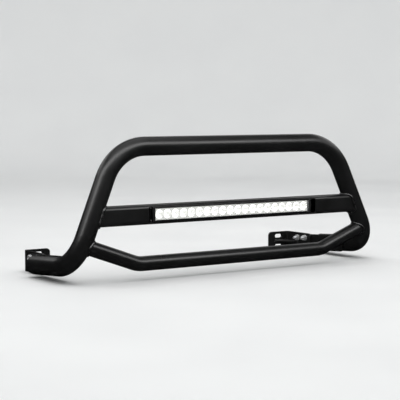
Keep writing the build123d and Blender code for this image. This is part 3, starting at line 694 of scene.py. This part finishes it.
def seat_outline(name, other):
    """Outer edge of the face at a CAD node's left end that is seated on another node."""
    touching = touch_test(other, SEAT_REACH)
    work = joined_mesh(name)
    seat = set()
    for face in work.faces:
        centre = face.calc_center_median()
        if centre.x > 0 and touching(centre) and all(touching(v.co) for v in face.verts):
            seat.add(face)
    border = [edge for edge in work.edges if sum(face in seat for face in edge.link_faces) == 1]
    loops = []
    while border:
        loop = list(border.pop().verts)
        onward = True
        while onward:
            onward = [edge for edge in border if loop[-1] in edge.verts]
            if onward:
                loop.append(onward[0].other_vert(loop[-1]))
                border.remove(onward[0])
        loops.append([vertex.co.copy() for vertex in loop[:-1]])
    work.free()
    return max(loops, key=lambda loop: sum((p - q).length for p, q in zip(loop, loop[1:])))


def evenly(points, step, closed):
    """The same path with points about step apart, four of them at least."""
    table = np.array(points + points[:1] if closed else points)
    gaps = np.linalg.norm(np.diff(table, axis=0), axis=1)
    reached = np.concatenate([[0], np.cumsum(gaps)])
    count = max(int(reached[-1] / step), 4)
    stations = np.linspace(0, reached[-1], count, endpoint=not closed)
    return [Vector([np.interp(s, reached, table[:, axis]) for axis in range(3)]) for s in stations]


def weld_bead(shape, points, radius, closed):
    """A rippled weld bead along a path, drawn as overlapping small pools."""
    path = evenly(points, BEAD_STEP, closed)
    count = len(path)
    angles = [2 * pi * k / BEAD_SIDES for k in range(BEAD_SIDES)]
    rings = []
    normal = BEAD_UP.normalized()
    wander = random.uniform(0, 10)      # no two beads are alike
    for k in range(count):
        before = path[k - 1] if closed or k else path[0]
        after = path[(k + 1) % count] if closed or k < count - 1 else path[-1]
        tangent = (after - before).normalized()
        normal = (normal - tangent * normal.dot(tangent)).normalized()
        side = tangent.cross(normal)
        pool = POOL_LOW + POOL_SWELL * sqrt(abs(sin(k * BEAD_STEP / RIPPLE * pi)))
        pool += POOL_WANDER * sin(k * WANDER_RATE + wander)
        taper = 1 if closed else min(1, BEAD_TIP + TIP_GROWTH * min(k, count - 1 - k))
        r = radius * pool * taper
        rings.append([path[k] + normal * (r * cos(a)) + side * (r * sin(a)) for a in angles])
    shape.loft(rings, loop=closed)


def tab_welds(shape, name):
    """Stitch beads along the top and bottom of the strip where a tab lies on its foot."""
    touching = touch_test("main_hoop", TAB_REACH)
    points = sorted((v.co for v in NODES[name].data.vertices if touching(v.co)), key=lambda p: p.y)
    mid_y = (points[0].y + points[-1].y) / 2
    front = sorted((p for p in points if p.y < mid_y), key=lambda p: p.z)
    rear = sorted((p for p in points if p.y >= mid_y), key=lambda p: p.z)
    for end, outward in ((0, -1), (-1, 1)):
        away = Vector((0, 0, outward * TAB_BEAD_R / 3))
        for shares in TAB_STITCHES:
            stitch = [front[end].lerp(rear[end], share) + away for share in shares]
            weld_bead(shape, stitch, TAB_BEAD_R, False)


def gusset_welds(shape, name):
    """Beads along the sharp inner corners of a frame bracket, where its gusset is welded in."""
    work = clean_mesh(name)
    for edge in work.edges:
        inward = edge.calc_face_angle_signed(0) < GUSSET_CORNER
        if inward and edge.calc_length() > GUSSET_SHORTEST:
            weld_bead(shape, [vertex.co.copy() for vertex in edge.verts], GUSSET_BEAD_R, False)
    work.free()


def weld_piece(shape, name):
    """Make the object of some weld beads, in their own coat."""
    bead = shape.piece(name, "guard", "powder_coat", sharp=80)
    bead.data.materials[0] = WELD_COAT


def build_welds():
    """All weld beads of the guard."""
    ends = {
        "crossbar": seat_outline("lower_crossbar", "main_hoop"),
        "crossmember": seat_outline("light_crossmember", "main_hoop"),
    }
    for side, word in ((1, "left"), (-1, "right")):
        for place, path in ends.items():
            shape = Shape()
            weld_bead(shape, [Vector((p.x * side, p.y, p.z)) for p in path], END_BEAD_R, True)
            weld_piece(shape, f"weld_{place}_{word}")
        shape = Shape()
        tab_welds(shape, f"leg_tab_{word}")
        gusset_welds(shape, f"frame_bracket_{word}")
        weld_piece(shape, f"weld_bracket_{word}")


# ---- fasteners ----------------------------------------------------------------
def middle(low, high):
    """Centre of a box's corners."""
    return (low + high) / 2


def side_of(low):
    """1 for a solid on the left, -1 for one on the right."""
    return 1 if low.x > 0 else -1


def hex_turn():
    """How far a hexagon has turned when its fastener is tight."""
    return random.uniform(0, pi / 3)


def build_bracket_fasteners():
    """M10 bolts, washers and nuts that join the tabs to the frame brackets."""
    bolts, washers, nuts = Shape(), Shape(), Shape()
    for low, high in solids("bracket_bolts"):
        side, spot = side_of(low), middle(low, high)
        head_top = max(abs(low.x), abs(high.x))
        length = high.x - low.x - M10["head"]
        matrix = along_x(side * (head_top - M10["head"]), spot.y, spot.z, side)
        hex_bolt(bolts, matrix, M10, length, hex_turn())
    for low, high in solids("bracket_washers"):
        side, spot = side_of(low), middle(low, high)
        outward = side if abs(spot.x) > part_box("leg_tab_left")[0].x else -side
        matrix = along_x(low.x if outward > 0 else high.x, spot.y, spot.z, outward)
        washer(washers, matrix, M10["thread"] / 2, (high.z - low.z) / 2, high.x - low.x)
    for low, high in solids("bracket_nuts"):
        side, spot = side_of(low), middle(low, high)
        matrix = along_x(high.x if side > 0 else low.x, spot.y, spot.z, -side)
        hex_nut(nuts, matrix, M10, high.x - low.x, hex_turn())
    bolts.piece("bracket_bolts_threaded", "guard", "zinc_steel", "bracket_bolts")
    washers.piece("bracket_washers_stamped", "guard", "zinc_steel", "bracket_washers")
    nuts.piece("bracket_nuts_chamfered", "guard", "zinc_steel", "bracket_nuts")


def build_light_bracket_fasteners():
    """M6 bolts through the cross-member's rear wall, and their nuts."""
    bolts, nuts = Shape(), Shape()
    for low, high in solids("light_bracket_bolts"):
        spot = middle(low, high)
        length = high.y - low.y - M6["head"]
        matrix = along_y(spot.x, high.y - M6["head"], spot.z, 1)
        hex_bolt(bolts, matrix, M6, length, hex_turn())
    for low, high in solids("light_bracket_nuts"):
        spot = middle(low, high)
        matrix = along_y(spot.x, high.y, spot.z, -1)
        hex_nut(nuts, matrix, M6, high.y - low.y, hex_turn())
    bolts.piece("light_bracket_bolts_threaded", "guard", "stainless_steel", "light_bracket_bolts")
    nuts.piece("light_bracket_nuts_chamfered", "guard", "stainless_steel", "light_bracket_nuts")


def build_pivots():
    """M8 tilt pivots with their washers and spacers."""
    bolts, washers, spacers = Shape(), Shape(), Shape()
    for low, high in solids("pivot_bolts"):
        side = side_of(low)
        head_top = max(abs(low.x), abs(high.x))
        matrix = along_x(side * (head_top - M8["head"]), TILT.y, TILT.z, side)
        hex_bolt(bolts, matrix, M8, high.x - low.x - M8["head"], hex_turn())
    for name, shape in (("pivot_washers", washers), ("pivot_spacers", spacers)):
        for low, high in solids(name):
            side = side_of(low)
            matrix = along_x(low.x if side > 0 else high.x, TILT.y, TILT.z, side)
            washer(shape, matrix, M8["thread"] / 2, (high.z - low.z) / 2, high.x - low.x)
    bolts.piece("pivot_bolts_threaded", "light_bar", "stainless_steel", "pivot_bolts")
    washers.piece("pivot_washers_stamped", "light_bar", "stainless_steel", "pivot_washers")
    spacers.piece("pivot_spacers_moulded", "light_bar", "nylon", "pivot_spacers")


def build_cap_screws():
    """M3 button-head screws with hexagon sockets in the end caps."""
    shape = Shape()
    head_r, thread_r, height = M3["head_width"] / 2, M3["thread"] / 2, M3["head"]
    socket = hexagon(M3["socket"])
    for low, high in solids("end_cap_screws"):
        side, spot = side_of(low), middle(low, high)
        seat = max(abs(low.x), abs(high.x)) - height
        length = high.x - low.x - height
        matrix = along_x(side * seat, spot.y, spot.z, side)
        outline = [
            (thread_r, -length), (thread_r, 0),
            *((head_r * r, height * h) for r, h in BUTTON_HEAD),
            (socket, height), (socket, height * SOCKET_FLOOR),
        ]
        turn = hex_turn()
        shape.loft([ring(matrix, r, h, BOLT_SIDES, turn) for r, h in outline])
    shape.piece("end_cap_screws_socket", "light_bar", "stainless_steel", "end_cap_screws")


# ---- light bar ----------------------------------------------------------------
def cell_edge(angle, half_x, half_z):
    """Where a ray from a cell's centre meets its rectangular edge."""
    across, up = cos(angle), sin(angle)
    reach = min(half_x / max(abs(across), TINY), half_z / max(abs(up), TINY))
    return across * reach, up * reach


def cell_angles(half_x, half_z):
    """Even angles round a cell, with the nearest one moved onto each of its four corners."""
    corner = np.arctan2(half_z, half_x)
    angles = [2 * pi * k / CUP_POINTS for k in range(CUP_POINTS)]
    for k in range(CUP_POINTS):
        for exact in (corner, pi - corner, pi + corner, 2 * pi - corner):
            if abs(angles[k] - exact) < pi / CUP_POINTS:
                angles[k] = exact
    return angles


def add_cup(shape, cell, low, high, angles):
    """One parabolic cup and its cell's front, sides and back, without walls between cells."""
    half_x, half_z = (high.x - low.x) / LED_COUNT / 2, (high.z - low.z) / 2
    x = low.x + (2 * cell + 1) * half_x
    first = len(shape.points)
    for row in range(CUP_ROWS + 1):
        share = row / CUP_ROWS
        radius = sqrt(CUP_THROAT_R ** 2 + share * (CUP_MOUTH_R ** 2 - CUP_THROAT_R ** 2))
        y = high.y - share * (high.y - low.y)
        shape.points.extend((x + radius * cos(a), y, TILT.z + radius * sin(a)) for a in angles)
    for y in (low.y, high.y):
        for a in angles:
            across, up = cell_edge(a, half_x, half_z)
            shape.points.append((x + across, y, TILT.z + up))
    for row in range(CUP_ROWS + 1):
        shape.band(first + row * CUP_POINTS, first + (row + 1) * CUP_POINTS, CUP_POINTS)
    front, back = (first + (CUP_ROWS + row) * CUP_POINTS for row in (1, 2))
    for k in range(CUP_POINTS):
        after = (k + 1) % CUP_POINTS
        between = (angles[k] + angles[after] + 2 * pi * (after == 0)) / 2
        outer = cell_edge(between, half_x, half_z)[0]
        at_side = abs(outer) > half_x - SAME_POINT
        if not (at_side and 0 < cell + (outer > 0) < LED_COUNT):
            shape.faces.append((front + k, front + after, back + after, back + k))
    shape.band(back, first, CUP_POINTS)


def build_reflector():
    """A strip of parabolic cups, each in its own rectangular cell."""
    low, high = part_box("reflector_array")
    angles = cell_angles((high.x - low.x) / LED_COUNT / 2, (high.z - low.z) / 2)
    shape = Shape()
    for cell in range(LED_COUNT):
        add_cup(shape, cell, low, high, angles)
    shape.piece("reflector_cups", "light_bar", "reflector_chrome", "reflector_array", sharp=40)


def rounded_square(half):
    """Radius of a square with trimmed corners, as a function of the angle."""
    return lambda angle: min(half / max(abs(cos(angle)), abs(sin(angle))), LED_CORNER * half)


def build_emitters():
    """LED packages: a square base with a phosphor dome."""
    shape = Shape()
    for low, high in solids("led_emitters"):
        spot = middle(low, high)
        half, height = (high.x - low.x) / 2, high.y - low.y
        matrix = along_y(spot.x, high.y, spot.z, -1)
        square = rounded_square(half)
        outline = [
            (square, 0), (square, LED_BASE * height),
            *((r * half, h * height) for r, h in LED_DOME),
        ]
        shape.loft([ring(matrix, r, h, LED_POINTS) for r, h in outline])
    shape.piece("led_domes", "light_bar", "led_emitter", "led_emitters", sharp=50)


def build_solder_pads():
    """Tinned rings and solder fillets on the board, round each LED at the bottom of its cup."""
    shape = Shape()
    for low, high in solids("led_emitters"):
        spot = middle(low, high)
        half = (high.x - low.x) / 2
        matrix = along_y(spot.x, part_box("led_board")[0].y, spot.z, -1)
        inner, outer = half * PAD_INNER, CUP_THROAT_R * PAD_OUTER
        shape.loft([
            ring(matrix, inner, 0), ring(matrix, outer, 0),
            ring(matrix, outer, PAD_HEIGHT), ring(matrix, inner, PAD_HEIGHT),
        ], loop=True)
        for side in (-1, 1):
            fillet = matrix @ Matrix.Translation((side * half * FILLET_PLACE, 0, 0))
            radius = half * FILLET_R
            shape.loft([
                ring(fillet, radius * cos(rise), radius * sin(rise), FILLET_POINTS)
                for rise in (pi / 2 * share for share in FILLET_RISES)
            ])
    shape.piece("led_solder_pads", "light_bar", "circuit_board")


# ---- floor, light and camera --------------------------------------------------
def build_stage():
    """A floor that sweeps up into a backdrop all round, far from the object."""
    matrix = Matrix.Translation((0, 0, CAD_BOX[0][2]))
    profile = [(radius, 0) for radius in FLOOR_RINGS]
    for k in range(BEND_STEPS + 1):
        bend = pi / 2 * k / BEND_STEPS
        radius = STAGE_RADIUS - STAGE_CURVE + STAGE_CURVE * sin(bend)
        profile.append((radius, STAGE_CURVE - STAGE_CURVE * cos(bend)))
    profile.append((STAGE_RADIUS, STAGE_HEIGHT))
    shape = Shape()
    for radius, height in profile:
        shape.points.extend(ring(matrix, radius, height, STAGE_POINTS))
    for row in range(len(profile) - 1):
        shape.band(row * STAGE_POINTS, (row + 1) * STAGE_POINTS, STAGE_POINTS)
    shape.faces.append(tuple(reversed(range(STAGE_POINTS))))
    mesh = shape.mesh("studio_floor")
    mesh.shade_smooth()
    mesh.materials.append(floor_paint())
    floor = bpy.data.objects.new("studio_floor", mesh)
    bpy.context.scene.collection.objects.link(floor)
    floor.visible_glossy = False    # a black coat that mirrors a pale floor looks grey


def area_light(name, place, target, along, length, width, power):
    """A rectangular soft light aimed at a point, with its length along a direction."""
    lamp = bpy.data.lights.new(name, "AREA")
    lamp.shape = "RECTANGLE"
    lamp.size = length
    lamp.size_y = width
    lamp.energy = power
    back = (place - target).normalized()
    right = (along - back * along.dot(back)).normalized()
    turned = Matrix((right, back.cross(right), back)).transposed().to_4x4()
    holder = bpy.data.objects.new(name, lamp)
    holder.matrix_world = Matrix.Translation(place) @ turned
    bpy.context.scene.collection.objects.link(holder)
    return holder


def light_arc(start, end, radiance, lit):
    """Soft panels side by side from one direction round to another, seen only in the guard's gloss."""
    centre = Vector((0, TILT.y, TILT.z))
    sweep = start.angle(end)
    axis = start.cross(end).normalized()
    count = round(RING_RADIUS * sweep / PANEL_LENGTH)
    length = RING_RADIUS * sweep / count
    power = radiance * pi * length * RING_WIDTH
    for k in range(count):
        out = Matrix.Rotation(sweep * (k + 0.5) / count, 3, axis) @ start
        place, along = centre + out * RING_RADIUS, axis.cross(out)
        panel = area_light("ring_panel", place, centre, along, length, RING_WIDTH, power)
        panel.light_linking.receiver_collection = lit
        panel.visible_diffuse = False
        panel.visible_camera = False


def build_lights():
    """A ring of soft panels, brightest across the front, puts one highlight along the tubes."""
    guard_only = bpy.data.collections.new("lit_by_ring")
    for piece in [o for o in bpy.data.objects if o.type == "MESH" and o.name != "studio_floor"]:
        guard_only.objects.link(piece)
    corners = [Vector(corner).normalized() for corner in RING_CORNERS]
    for start, end, radiance in zip(corners, corners[1:] + corners[:1], RING_RADIANCE):
        light_arc(start, end, radiance, guard_only)
    above, centre = Vector((0, TILT.y, OVERHEAD_HEIGHT)), Vector((0, TILT.y, TILT.z))
    along = Vector((1, 0, 0))
    area_light("overhead", above, centre, along, OVERHEAD_SIZE, OVERHEAD_SIZE, OVERHEAD_POWER)
    world = bpy.data.worlds.new("studio")
    world.use_nodes = True
    background = world.node_tree.nodes["Background"]
    background.inputs["Color"].default_value = WORLD_COLOUR
    background.inputs["Strength"].default_value = WORLD_GLOW
    world.cycles_visibility.glossy = False      # for the same reason as the floor
    bpy.context.scene.world = world


def build_camera():
    """The camera stands ahead of the guard, to its right and a little above it."""
    camera = bpy.data.cameras.new("camera")
    camera.angle = CAMERA_ANGLE
    camera.clip_end = CAMERA_REACH
    holder = bpy.data.objects.new("camera", camera)
    place = Vector(CAMERA_PLACE)
    target = (Vector(CAD_BOX[0]) + Vector(CAD_BOX[1])) / 2
    holder.location = place
    holder.rotation_euler = (target - place).to_track_quat("-Z", "Y").to_euler()
    bpy.context.scene.collection.objects.link(holder)
    bpy.context.scene.camera = holder


# ---- the whole model ----------------------------------------------------------
build_welds()
build_bracket_fasteners()
build_light_bracket_fasteners()
build_pivots()
build_cap_screws()
build_reflector()
build_emitters()
build_solder_pads()
for name, bevel in LIGHT_EDGES.items():
    refined(name, bevel * MM, 2, body="light_bar")
for name, bevel in GUARD_EDGES.items():
    refined(name, bevel * MM)
for name, part in NODES.items():
    for held in part.material_slots:
        held.material = MATERIALS[SLOT_OF[name]]
build_stage()
build_lights()
build_camera()
bpy.context.scene.view_settings.view_transform = "Standard"
